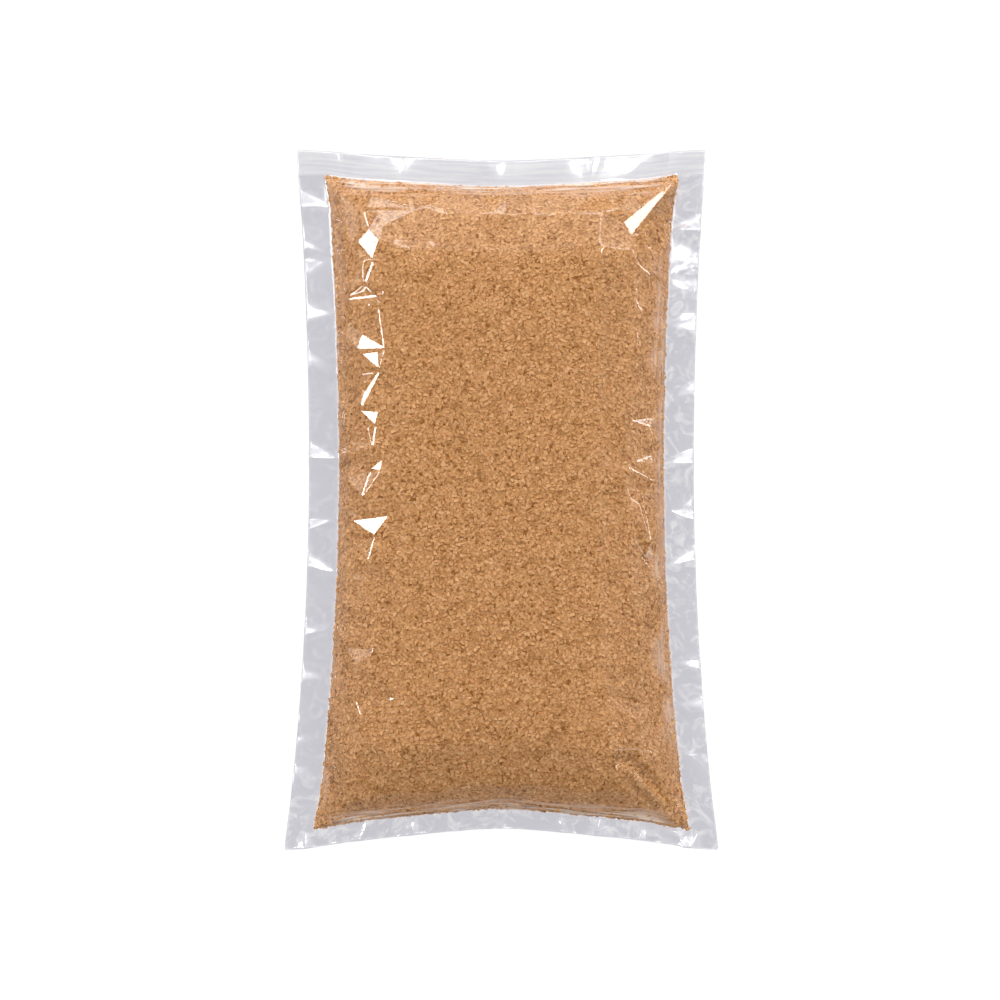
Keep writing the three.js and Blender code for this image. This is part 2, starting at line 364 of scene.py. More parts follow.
def flat_pouch():
    """The two sheets as one mesh: upper panel, welded band and under panel, with flat places."""
    edge = (SIDE_BAND, CELL)
    shoulder_part = (FLAT_WIDTH / 2 - SIDE_BAND - MIDDLE_HALF, CELL)
    across = grid_lines([edge, shoulder_part, (2 * MIDDLE_HALF, MIDDLE_CELL), shoulder_part, edge])
    inner_length = FLAT_LENGTH - FOOT_BAND - HEAD_BAND
    along = grid_lines([(FOOT_BAND, CELL), (inner_length, CELL), (HEAD_BAND, CELL)])
    columns, rows = len(across) - 1, len(along) - 1
    bm = bmesh.new()
    flat = bm.verts.layers.float_vector.new("flat")
    under_mark = bm.verts.layers.float.new("under")
    bmesh.ops.create_grid(bm, x_segments=columns, y_segments=rows, size=0.5)
    for vert in bm.verts:
        column = round((vert.co.x + 0.5) * columns)
        row = round((vert.co.y + 0.5) * rows)
        vert[flat] = (across[column], along[row], 0)
        vert.co = vert[flat]
    weld_x = FLAT_WIDTH / 2 - SIDE_BAND
    weld_low = FOOT_BAND - FLAT_LENGTH / 2
    weld_high = FLAT_LENGTH / 2 - HEAD_BAND
    panel = []
    for face in bm.faces:
        middle = face.calc_center_median()
        if abs(middle.x) < weld_x and weld_low < middle.y < weld_high:
            panel.append(face)
        else:
            face.material_index = BAND
    copied = bmesh.ops.duplicate(bm, geom=panel)
    under = [item for item in copied["geom"] if isinstance(item, bmesh.types.BMFace)]
    bmesh.ops.reverse_faces(bm, faces=under)
    for face in under:
        face.material_index = UNDER
        for vert in face.verts:
            vert[under_mark] = 1
    verts = list(bm.verts)
    places = np.array([vert[flat] for vert in verts])
    upper = np.array([vert[under_mark] < 0.5 for vert in verts])
    filled = filled_place(places, upper)
    weld = (np.abs(np.abs(places[:, 0]) - weld_x) < TOUCH) & (places[:, 1] > weld_low - TOUCH)
    weld &= places[:, 1] < weld_high + TOUCH
    ends = (np.abs(places[:, 1] - weld_low) < TOUCH) | (np.abs(places[:, 1] - weld_high) < TOUCH)
    weld |= ends & (np.abs(places[:, 0]) < weld_x + TOUCH)
    filled[weld] = filled_place(places[weld], True, dent=0)
    for vert, place in zip(verts, filled):
        vert.co = Vector(place)
    bmesh.ops.remove_doubles(bm, verts=bm.verts, dist=TOUCH)
    return finished_mesh("pouch", bm)


def link(name, mesh):
    obj = bpy.data.objects.new(name, mesh)
    bpy.context.scene.collection.objects.link(obj)
    return obj


def collider(name, mesh, outer):
    obj = link(name, mesh)
    obj.modifiers.new("Collision", "COLLISION")
    obj.collision.thickness_outer = outer * MM * SIM
    obj.collision.thickness_inner = 0.05
    obj.collision.cloth_friction = 2
    obj.collision.damping = 0.5
    return obj


def plate(name, height, facing_down):
    bm = bmesh.new()
    bmesh.ops.create_grid(bm, x_segments=1, y_segments=1, size=6)
    bmesh.ops.translate(bm, verts=bm.verts, vec=(0, 0, height * MM * SIM))
    if facing_down:
        bmesh.ops.reverse_faces(bm, faces=bm.faces)
    return collider(name, finished_mesh(name, bm), 0.1)


def firm_core(inset, sink):
    """A smooth closed stand-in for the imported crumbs, for the film to settle on."""
    mesh = flat_pouch()
    bm = bmesh.new()
    bm.from_mesh(mesh)
    bpy.data.meshes.remove(mesh)
    band = [face for face in bm.faces if face.material_index == BAND]
    bmesh.ops.delete(bm, geom=band, context="FACES")
    flat = bm.verts.layers.float_vector["flat"]
    under_mark = bm.verts.layers.float["under"]
    verts = list(bm.verts)
    places = np.array([vert[flat] for vert in verts])
    upper = np.array([vert[under_mark] < 0.5 for vert in verts])
    filled = filled_place(places, upper, rise=0, dent=0, thickness=THICKNESS - sink)
    shrink_x = 1 - inset / (WAIST_WIDTH / 2 - SIDE_BAND)
    shrink_y = 1 - 1.5 * inset / (LENGTH / 2 - HEAD_BAND)
    for vert, place in zip(verts, filled):
        level = max(place[2], FIRM_LEVEL)
        vert.co = Vector((place[0] * shrink_x, place[1] * shrink_y, level)) * MM * SIM
    return collider("firm_core", finished_mesh("firm_core", bm), 0.5)


def settled_pouch():
    """The filled pouch after its film has buckled, sagged and settled."""
    mesh = flat_pouch()
    pouch = link("pouch", mesh)
    flat = read_all(mesh.attributes["flat"].data, "vector")
    filled = read_all(mesh.vertices, "co")
    filled[:, 2] += START_LIFT
    mesh.vertices.foreach_set("co", (filled * MM * SIM).ravel())
    pouch.shape_key_add(name="Basis")
    rest = pouch.shape_key_add(name="flat")
    rest.data.foreach_set("co", (flat * MM * SIM).ravel())
    rest.value = 0

    inner_x = FLAT_WIDTH / 2 - SIDE_BAND
    weld_low = FOOT_BAND - FLAT_LENGTH / 2
    weld_high = FLAT_LENGTH / 2 - HEAD_BAND
    band = np.abs(flat[:, 0]) > inner_x - TOUCH
    band |= (flat[:, 1] < weld_low + TOUCH) | (flat[:, 1] > weld_high - TOUCH)
    press = pouch.vertex_groups.new(name="press")
    press.add(np.flatnonzero(~band).tolist(), 1, "ADD")
    stiff = pouch.vertex_groups.new(name="stiff")
    stiff.add(np.flatnonzero(band).tolist(), 1, "ADD")
    pin = pouch.vertex_groups.new(name="pin")
    to_corner = np.hypot(FLAT_WIDTH / 2 - np.abs(flat[:, 0]), FLAT_LENGTH / 2 - np.abs(flat[:, 1]))
    hold = ease(1 - to_corner / CORNER_HOLD)
    for index in np.flatnonzero(band & (hold > 0)).tolist():
        pin.add([index], float(hold[index]), "REPLACE")

    table = plate("table", 0, False)
    lid = plate("lid", THICKNESS + LID_GAP, True)
    helpers = [table, lid, firm_core(FIRM_INSET, FIRM_SINK)]
    cloth = pouch.modifiers.new("Cloth", "CLOTH")
    settings = cloth.settings
    settings.rest_shape_key = rest
    settings.quality = 6
    settings.mass = 0.3
    settings.tension_stiffness = 600
    settings.compression_stiffness = 600
    settings.shear_stiffness = 300
    settings.tension_damping = 15
    settings.compression_damping = 15
    settings.shear_damping = 15
    settings.bending_stiffness = 0.05
    settings.bending_damping = 1
    settings.vertex_group_bending = "stiff"
    settings.bending_stiffness_max = 0.5
    settings.air_damping = 3
    settings.effector_weights.gravity = 0.3
    settings.vertex_group_mass = "pin"
    settings.pin_stiffness = 1
    settings.use_pressure = True
    settings.vertex_group_pressure = "press"
    settings.uniform_pressure_force = 1
    cloth.collision_settings.use_collision = True
    cloth.collision_settings.distance_min = 0.005
    cloth.collision_settings.collision_quality = 2
    cloth.collision_settings.use_self_collision = False
    cloth.point_cache.frame_start = 1
    cloth.point_cache.frame_end = FRAMES
    scene = bpy.context.scene
    scene.frame_start = 1
    scene.frame_end = FRAMES
    for number in range(1, FRAMES + 1):
        scene.frame_set(number)
    evaluated = pouch.evaluated_get(bpy.context.evaluated_depsgraph_get())
    settled = bpy.data.meshes.new_from_object(evaluated)
    settled.transform(Matrix.Scale(1 / SIM, 4))
    for obj in [pouch, *helpers]:
        bpy.data.objects.remove(obj)
    scene.frame_set(1)
    return settled


def fit_outline(mesh):
    """Brings the rim of the settled pouch back to its outline, and the rest along in step."""
    places = read_all(mesh.vertices, "co") / MM
    flat = read_all(mesh.attributes["flat"].data, "vector")
    x, y = places[:, 0].copy(), places[:, 1].copy()
    for side in (-1, 1):
        rim = np.flatnonzero(side * flat[:, 0] > FLAT_WIDTH / 2 - TOUCH)
        rim = rim[np.argsort(y[rim])]
        reach = np.interp(y, y[rim], side * x[rim])
        part = side * x > 0
        places[part, 0] *= (half_width(2 * y / LENGTH) / reach)[part]
        rim = np.flatnonzero(side * flat[:, 1] > FLAT_LENGTH / 2 - TOUCH)
        rim = rim[np.argsort(x[rim])]
        reach = np.interp(x, x[rim], side * y[rim])
        part = side * y > 0
        target = half_length(np.clip(2 * x / np.where(y > 0, HEAD_WIDTH, FOOT_WIDTH), -1, 1), side > 0)
        places[part, 1] *= (target / reach)[part]
    band = np.where(flat[:, 1] > 0, HEAD_BAND, FOOT_BAND)
    aside = np.abs(flat[:, 0]) - FLAT_WIDTH / 2 + SIDE_BAND
    beyond = np.abs(flat[:, 1]) - FLAT_LENGTH / 2 + band
    pull = np.exp(-(aside**2 + beyond**2) / TIP_SPREAD**2)
    places[:, 0] += np.sign(flat[:, 0]) * TIP_PULL * pull
    places[:, 1] += np.sign(flat[:, 1]) * TIP_PULL * pull
    mesh.vertices.foreach_set("co", (places * MM).ravel())


def sheet(settled, regions, levels):
    """Some regions of the settled pouch as a smoother, finer mesh of their own."""
    bm = bmesh.new()
    bm.from_mesh(settled)
    sharp = bm.edges.layers.float.new("crease_edge")
    pointed = bm.verts.layers.float.new("crease_vert")
    flat = bm.verts.layers.float_vector["flat"]
    for edge in bm.edges:
        kinds = {face.material_index for face in edge.link_faces}
        if BAND in kinds and len(kinds) > 1:
            edge[sharp] = WELD_SHARPNESS
    for vert in bm.verts:
        u, v, _ = vert[flat]
        band = HEAD_BAND if v > 0 else FOOT_BAND
        aside = abs(u) - FLAT_WIDTH / 2 + SIDE_BAND
        beyond = abs(v) - FLAT_LENGTH / 2 + band
        if abs(aside) < 0.1 and abs(beyond) < 0.1:
            vert[pointed] = 1
    spare = [face for face in bm.faces if face.material_index not in regions]
    bmesh.ops.delete(bm, geom=spare, context="FACES")
    obj = link("sheet", finished_mesh("sheet", bm))
    smooth = obj.modifiers.new("Smooth", "SUBSURF")
    smooth.levels = levels
    smooth.render_levels = levels
    evaluated = obj.evaluated_get(bpy.context.evaluated_depsgraph_get())
    fine = bpy.data.meshes.new_from_object(evaluated)
    bpy.data.objects.remove(obj)
    return fine


def shoulder_place(edge, along, inset):
    """A place on the upper panel, this far in from the weld of one edge."""
    if edge in ("left", "right"):
        side = 1 if edge == "right" else -1
        return side * (float(half_width(2 * along / LENGTH)) - SIDE_BAND - inset), along
    side = 1 if edge == "head" else -1
    band = HEAD_BAND if edge == "head" else FOOT_BAND
    return along, side * (float(half_length(2 * along / WAIST_WIDTH, side > 0)) - band - inset)


def shoulder_marks():
    """Places on the shoulders and how far the film is lifted there, at creases, bulges and borders."""
    for edge, creases in CREASES.items():
        for i, (place, reach, slant) in enumerate(creases):
            depth = CREASE_DEPTH * (1 - 0.3 * (1 - math.cos(1.9 * i)))
            yield shoulder_place(edge, place, 0), 0
            yield shoulder_place(edge, place + 0.35 * slant, 0.4 * reach), -depth
            yield shoulder_place(edge, place + slant, reach), -0.2 * depth
            yield shoulder_place(edge, place, INNER_EDGE), 0
            if i + 1 < len(creases):
                beyond, other_reach, _ = creases[i + 1]
                middle = (place + beyond) / 2
                yield shoulder_place(edge, middle, 0), 0
                yield shoulder_place(edge, middle, 0.15 * (reach + other_reach)), BULGE
                yield shoulder_place(edge, middle + slant / 2, 0.55 * (reach + other_reach)), 0
    for side, end in ((-1, "head"), (1, "head"), (-1, "foot"), (1, "foot")):
        corner = 85 if end == "head" else 90
        for along in (corner, corner - 6):
            yield shoulder_place(end, side * along, 0), 0


def lies_within(place, polygon):
    """Whether a place is inside a convex polygon."""
    turns = []
    for start, end in zip(polygon, polygon[1:] + polygon[:1]):
        ahead, offset = Vector(end) - Vector(start), place - Vector(start)
        turns.append(ahead.cross(offset) > 0)
    return all(turns) or not any(turns)


def film_facets(settled):
    """The shoulders of the filled pouch as flat facets, for the sheets to be laid on from above."""
    places = [vert.co / MM for vert in settled.vertices]
    tops = [polygon.vertices[:] for polygon in settled.polygons if polygon.material_index == TOP]
    upper = BVHTree.FromPolygons(places, tops)
    plan, heights, edges = [], [], []

    def settled_height(place):
        above, _, _, _ = upper.ray_cast(Vector((*place, 100)), Vector((0, 0, -1)))
        if above is None:
            above, _, _, _ = upper.find_nearest(Vector((*place, SEAM_HEIGHT)))
        return above.z

    def known_height(place):
        for other, height in zip(plan, heights):
            if (other - Vector(place)).length < 0.1:
                return height
        return settled_height(place)

    def add_line(line, levels, closed):
        first = len(plan)
        plan.extend(Vector(place) for place in line)
        heights.extend(levels)
        last = len(plan) - 1
        edges.extend((index, index + 1) for index in range(first, last))
        if closed:
            edges.append((last, first))

    for light, polygon in FACETS:
        middle = sum((Vector(place) for place in polygon), Vector((0, 0))) / len(polygon)
        level = sum(settled_height(place) for place in polygon) / len(polygon)
        to_light = Vector(SOFTBOXES[light][0]) / MM - Vector((*middle, level))
        slope = (to_light.normalized() + Vector((0, 0, 1))).normalized()
        levels = [level - (Vector(place) - middle).dot(slope.xy) / slope.z for place in polygon]
        add_line(polygon, levels, True)
    for line in RIDGES:
        add_line(line, [known_height(place) for place in line], False)
    for place, lift in NUDGES:
        plan.append(Vector(place))
        heights.append(settled_height(Vector(place)) + lift)
    for place, lift in shoulder_marks():
        place = Vector(place)
        on_facet = any(lies_within(place, polygon) for _, polygon in FACETS)
        if not on_facet and all((place - other).length > MARK_GAP for other in plan):
            plan.append(place)
            heights.append(settled_height(place) + lift)

    corners, _, triangles, sources, _, _ = geometry.delaunay_2d_cdt(plan, edges, [], 0, 0.05, True)
    points = []
    for corner, known in zip(corners, sources):
        points.append(Vector((*corner, heights[known[0]] if known else settled_height(corner))))
    return BVHTree.FromPolygons(points, triangles)


def sharp_folds(places, position, out, share=1):
    """Cones with their tips at the weld, some broad and some narrow."""
    height = 0
    for i, place in enumerate(places):
        width = share * FOLD_SPREAD * (1 + 0.35 * math.cos(1.7 * i + 1))
        middle = place + FOLD_SLANT * math.sin(2.3 * i) * out
        fold = np.maximum(1 - np.abs(position - middle) / (width * (0.3 + 0.7 * out)), 0)
        height = height + FOLD_STEEPNESS * width * (0.93 + 0.07 * math.cos(2.7 * i)) * out * fold**1.15
    return height


def wrinkle(mesh, facets):
    """Draws the facets of the filled film and the folds of the welded band into a sheet."""
    places = read_all(mesh.vertices, "co") / MM
    normals = read_all(mesh.vertex_normals, "vector")
    flat = read_all(mesh.attributes["flat"].data, "vector")
    under = read_all(mesh.attributes["under"].data, "value", 1)
    u, v = flat[:, 0], flat[:, 1]
    head = v > 0
    band = np.where(head, HEAD_BAND, FOOT_BAND)
    in_side = FLAT_WIDTH / 2 - SIDE_BAND - np.abs(u)
    in_end = FLAT_LENGTH / 2 - band - np.abs(v)
    inside = np.minimum(in_side, in_end)
    upper = (under < 0.5) & (inside > 0)
    out_x = np.clip(-in_side / SIDE_BAND, 0, 1)
    out_y = np.clip(-in_end / band, 0, 1)

    from_side = half_width(2 * places[:, 1] / LENGTH) - SIDE_BAND - np.abs(places[:, 0])
    from_end = half_length(2 * places[:, 0] / WAIST_WIDTH, head) - band - np.abs(places[:, 1])
    inset = np.minimum(from_side, from_end)
    zone = ease(inside / 2) * (1 - ease((inset - INNER_EDGE + 6) / 6)) * upper
    levels = places[:, 2].copy()
    for index in np.flatnonzero(zone > 0):
        spot, _, _, _ = facets.ray_cast(Vector((*places[index, :2], 100)), Vector((0, 0, -1)))
        if spot is not None:
            levels[index] = spot.z
    crinkles = np.array([noise.turbulence(Vector(place) / CRINKLE_SIZE, 2, False) for place in places])
    ripple = CRINKLE * 2 * ease(inside / 5) * (1 - ease((inside - 16) / 26)) * crinkles
    ripple = ripple * (upper - 0.8 * zone)
    moved = places - normals * ripple[:, None]
    moved[:, 2] += zone * (levels - places[:, 2])
    sides = np.where(
        u > 0,
        sharp_folds(RIGHT_BUCKLES, places[:, 1], out_x),
        sharp_folds(LEFT_BUCKLES, places[:, 1], out_x),
    )
    ends = np.where(
        head,
        sharp_folds(HEAD_BUCKLES, places[:, 0], out_y, HEAD_FOLD_SHARE),
        sharp_folds(FOOT_FOLDS, places[:, 0], out_y, FOOT_FOLD_SHARE),
    )
    droop = FOLD_DROOP * np.maximum(out_x, out_y) ** 2
    moved[:, 2] += sides + ends - droop
    mesh.vertices.foreach_set("co", (moved * MM).ravel())
    mesh.update()


def refined(mesh):
    """A sheet with finer faces where it is laid on the bright facets."""
    bm = bmesh.new()
    bm.from_mesh(mesh)
    bm.edges.ensure_lookup_table()
    middles = np.array([((edge.verts[0].co + edge.verts[1].co) / (2 * MM)).xy for edge in bm.edges])
    near = np.zeros(len(middles), dtype=bool)
    for _, polygon in FACETS:
        centre = np.mean(polygon, axis=0)
        within = np.ones(len(middles), dtype=bool)
        for start, end in zip(polygon, polygon[1:] + polygon[:1]):
            across = np.array([start[1] - end[1], end[0] - start[0]])
            across = across / np.hypot(*across)
            inwards = np.sign((centre - start) @ across)
            within &= inwards * ((middles - start) @ across) > -REFINED_MARGIN
        near |= within
    edges = [bm.edges[index] for index in np.flatnonzero(near).tolist()]
    bmesh.ops.subdivide_edges(bm, edges=edges, cuts=1, use_grid_fill=True)
    bm.to_mesh(mesh)
    bm.free()
    return mesh


def film_piece(settled, facets):
    """Two skins of film that meet at the rim, close together in the welded band."""
    over = refined(sheet(settled, (TOP, BAND), 2))
    below = sheet(settled, (UNDER, BAND), 1)
    for skin in (over, below):
        wrinkle(skin, facets)
    bm = bmesh.new()
    bm.from_mesh(below)
    lower_band = [face for face in bm.faces if face.material_index == BAND]
    bmesh.ops.reverse_faces(bm, faces=lower_band)
    bm.from_mesh(over)
    bm.normal_update()
    for vert in bm.verts:
        flats = [face.normal for face in vert.link_faces if face.material_index == BAND]
        if flats:
            vert.co += sum(flats, Vector()).normalized() * (SKIN_GAP * MM)
    rims = [edge for edge in bm.edges if edge.is_boundary]
    bmesh.ops.bridge_loops(bm, edges=rims)
    for face in bm.faces:
        face.smooth = True
        face.material_index = 0
    return link("film", finished_mesh("film", bm))


def crumb_mass(settled, facets):
    """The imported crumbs: the inside of the pouch, a little smaller, with a rough surface."""
    mesh = sheet(settled, (TOP, UNDER), 1)
    wrinkle(mesh, facets)
    bm = bmesh.new()
    bm.from_mesh(mesh)
    flat = bm.verts.layers.float_vector["flat"]
    inside = {}
    for vert in bm.verts:
        u, v, _ = vert[flat]
        band = HEAD_BAND if v > 0 else FOOT_BAND
        inside[vert] = min(FLAT_WIDTH / 2 - SIDE_BAND - abs(u), FLAT_LENGTH / 2 - band - abs(v))
    loose = [vert for vert, distance in inside.items() if distance > EVENED_FROM]
    every_way = {"use_axis_x": True, "use_axis_y": True, "use_axis_z": True}
    for _ in range(2):
        bmesh.ops.smooth_vert(bm, verts=loose, factor=0.5, **every_way)
    bm.normal_update()
    for vert, distance in inside.items():
        inset = WELD_INSET + (CORE_INSET - WELD_INSET) * min(max(distance / INSET_RUN, 0), 1)
        vert.co -= vert.normal * inset * MM
    bm.normal_update()
    for vert in bm.verts:
        rough = noise.fractal(vert.co / (LUMP_SIZE * MM), 1.0, 2.0, 2)
        vert.co += vert.normal * rough * LUMP_HEIGHT * MM
    for face in bm.faces:
        face.smooth = True
        face.material_index = 0
    bm.to_mesh(mesh)
    bm.free()
    for name in ("flat", "under"):
        mesh.attributes.remove(mesh.attributes[name])
    mesh.name = "crumb_mass"
    return link("crumb_mass", mesh)


def chip(name, seed, size, bend=0.0):
    """One crumb with few faces: a rough block, longer than it is thick and a little bent."""
    rng = np.random.default_rng(seed)
    bm = bmesh.new()
    bmesh.ops.create_cube(bm, size=1)
    if bend:
        long_edges = [edge for edge in bm.edges if abs((edge.verts[0].co - edge.verts[1].co).x) > 0.5]
        bmesh.ops.subdivide_edges(bm, edges=long_edges, cuts=1, use_grid_fill=True)
    for vert in bm.verts:
        narrow = 1 - CRUMB_TAPER * abs(vert.co.x)
        shift = Vector(rng.uniform(-CRUMB_ROUGHNESS, CRUMB_ROUGHNESS, 3).tolist())
        vert.co = Vector((vert.co.x, vert.co.y * narrow, vert.co.z * narrow)) + shift
        vert.co.z -= bend * (2 * vert.co.x) ** 2
    bmesh.ops.scale(bm, verts=bm.verts, vec=[side * MM for side in size])
    bmesh.ops.triangulate(bm, faces=bm.faces)
    bmesh.ops.recalc_face_normals(bm, faces=bm.faces)
    return bpy.data.objects.new(name, finished_mesh(name, bm))


def strewing(shape, per_square, spacing, seed):
    """Geometry nodes that strew one kind of crumb over a surface, as real mesh."""
    tree = bpy.data.node_groups.new("strew_" + shape.name, "GeometryNodeTree")
    tree.interface.new_socket("Geometry", in_out="INPUT", socket_type="NodeSocketGeometry")
    tree.interface.new_socket("Geometry", in_out="OUTPUT", socket_type="NodeSocketGeometry")
    source = add_node(tree, "NodeGroupInput")
    result = add_node(tree, "NodeGroupOutput")
    where = add_node(tree, "GeometryNodeInputPosition").outputs[0]
    normal = add_node(tree, "GeometryNodeInputNormal").outputs[0]

    # None lies on the back or over one of the small hollows, where the mass below shows through with its
    # painted shade.
    upwards = add_node(tree, "ShaderNodeSeparateXYZ", {0: normal}).outputs["Z"]
    facing = grade(tree, upwards, *BACK_FACING)
    hollows = add_node(tree, "ShaderNodeTexVoronoi", {"Vector": where, "Scale": 1 / (HOLLOW_SPACING * MM)})
    patchy = add_node(tree, "ShaderNodeTexNoise", {"Vector": where, "Scale": 70, "Detail": 1})
    rim = grade(tree, patchy.outputs[0], 0.3, 0.65, *HOLLOW_SIZES)
    clear = calc(tree, "GREATER_THAN", hollows.outputs["Distance"], rim)
    points = add_node(
        tree, "GeometryNodeDistributePointsOnFaces",
        {
            "Mesh": source.outputs[0],
            "Distance Min": spacing * MM,
            "Density Max": per_square / MM**2,
            "Density Factor": calc(tree, "MULTIPLY", facing, clear),
            "Seed": seed,
        },
        distribute_method="POISSON",
    )

    # Each lies turned and tilted by chance, and the burnt ones are smaller.
    crumb = add_node(tree, "GeometryNodeObjectInfo", {"Object": shape})
    least = (-CRUMB_TILT, -CRUMB_TILT, -math.pi)
    most = (CRUMB_TILT, CRUMB_TILT, math.pi)
    angles = {0: least, 1: most, "Seed": seed + 1}
    turn = add_node(tree, "FunctionNodeRandomValue", angles, data_type="FLOAT_VECTOR")
    rotation = add_node(tree, "FunctionNodeEulerToRotation", {0: turn.outputs[0]})
    turned = add_node(
        tree, "FunctionNodeRotateRotation",
        {0: points.outputs["Rotation"], 1: rotation.outputs[0]},
        rotation_space="LOCAL",
    )
    tone = add_node(tree, "FunctionNodeRandomValue", {"Seed": seed + 3}, data_type="FLOAT").outputs[1]
    burnt = calc(tree, "LESS_THAN", tone, BURNT_SHARE)
    shrunk = calc(tree, "MULTIPLY_ADD", burnt, BURNT_SHRINK, 1.0)
    scales = {2: CRUMB_SCALES[0], 3: CRUMB_SCALES[1], "Seed": seed + 2}
    size = add_node(tree, "FunctionNodeRandomValue", scales, data_type="FLOAT").outputs[1]
    placed = add_node(
        tree, "GeometryNodeInstanceOnPoints",
        {
            "Points": points.outputs["Points"],
            "Instance": crumb.outputs["Geometry"],
            "Rotation": turned.outputs[0],
            "Scale": calc(tree, "MULTIPLY", size, shrunk),
        },
    )
    toned = add_node(
        tree, "GeometryNodeStoreNamedAttribute",
        {0: placed.outputs[0], "Name": "tone", "Value": tone},
        domain="INSTANCE",
    )
    real = add_node(tree, "GeometryNodeRealizeInstances", {0: toned.outputs[0]})
    tree.links.new(real.outputs[0], result.inputs[0])
    return tree


def strewn_crumbs(mass, shape, per_square, spacing, seed, material):
    modifier = mass.modifiers.new("Strew", "NODES")
    modifier.node_group = strewing(shape, per_square, spacing, seed)
    evaluated = mass.evaluated_get(bpy.context.evaluated_depsgraph_get())
    mesh = bpy.data.meshes.new_from_object(evaluated)
    mass.modifiers.remove(modifier)
    mesh.name = shape.name
    mesh.materials.clear()
    mesh.materials.append(material)
    return link("crumbs_" + shape.name, mesh)


def new_material(name):
    material = bpy.data.materials.new(name)
    material.use_nodes = True
    tree = material.node_tree
    return material, tree, tree.nodes["Principled BSDF"], tree.nodes["Material Output"]


def add_node(tree, kind, inputs=None, **settings):
    """A node with its settings; inputs are numbers or the sockets of other nodes."""
    node = tree.nodes.new(kind)
    for name, value in settings.items():
        setattr(node, name, value)
    for name, value in (inputs or {}).items():
        if isinstance(value, bpy.types.NodeSocket):
            tree.links.new(value, node.inputs[name])
        else:
            node.inputs[name].default_value = value
    return node


def calc(tree, operation, *values, clamp=False):
    """The result of one step of arithmetic on numbers and sockets."""
    inputs = dict(enumerate(values))
    return add_node(tree, "ShaderNodeMath", inputs, operation=operation, use_clamp=clamp).outputs[0]


def grade(tree, value, low, high, first=0.0, last=1.0, kind="LINEAR"):
    """Goes from first to last while the value goes from low to high."""
    inputs = {"Value": value, "From Min": low, "From Max": high, "To Min": first, "To Max": last}
    return add_node(tree, "ShaderNodeMapRange", inputs, interpolation_type=kind).outputs[0]


def blend(tree, share, first, second):
    """A colour between two others, each a colour or a socket."""
    ends = [(*end, 1) if isinstance(end, tuple) else end for end in (first, second)]
    inputs = {"Factor": share, "A": ends[0], "B": ends[1]}
    return add_node(tree, "ShaderNodeMix", inputs, data_type="RGBA").outputs["Result"]


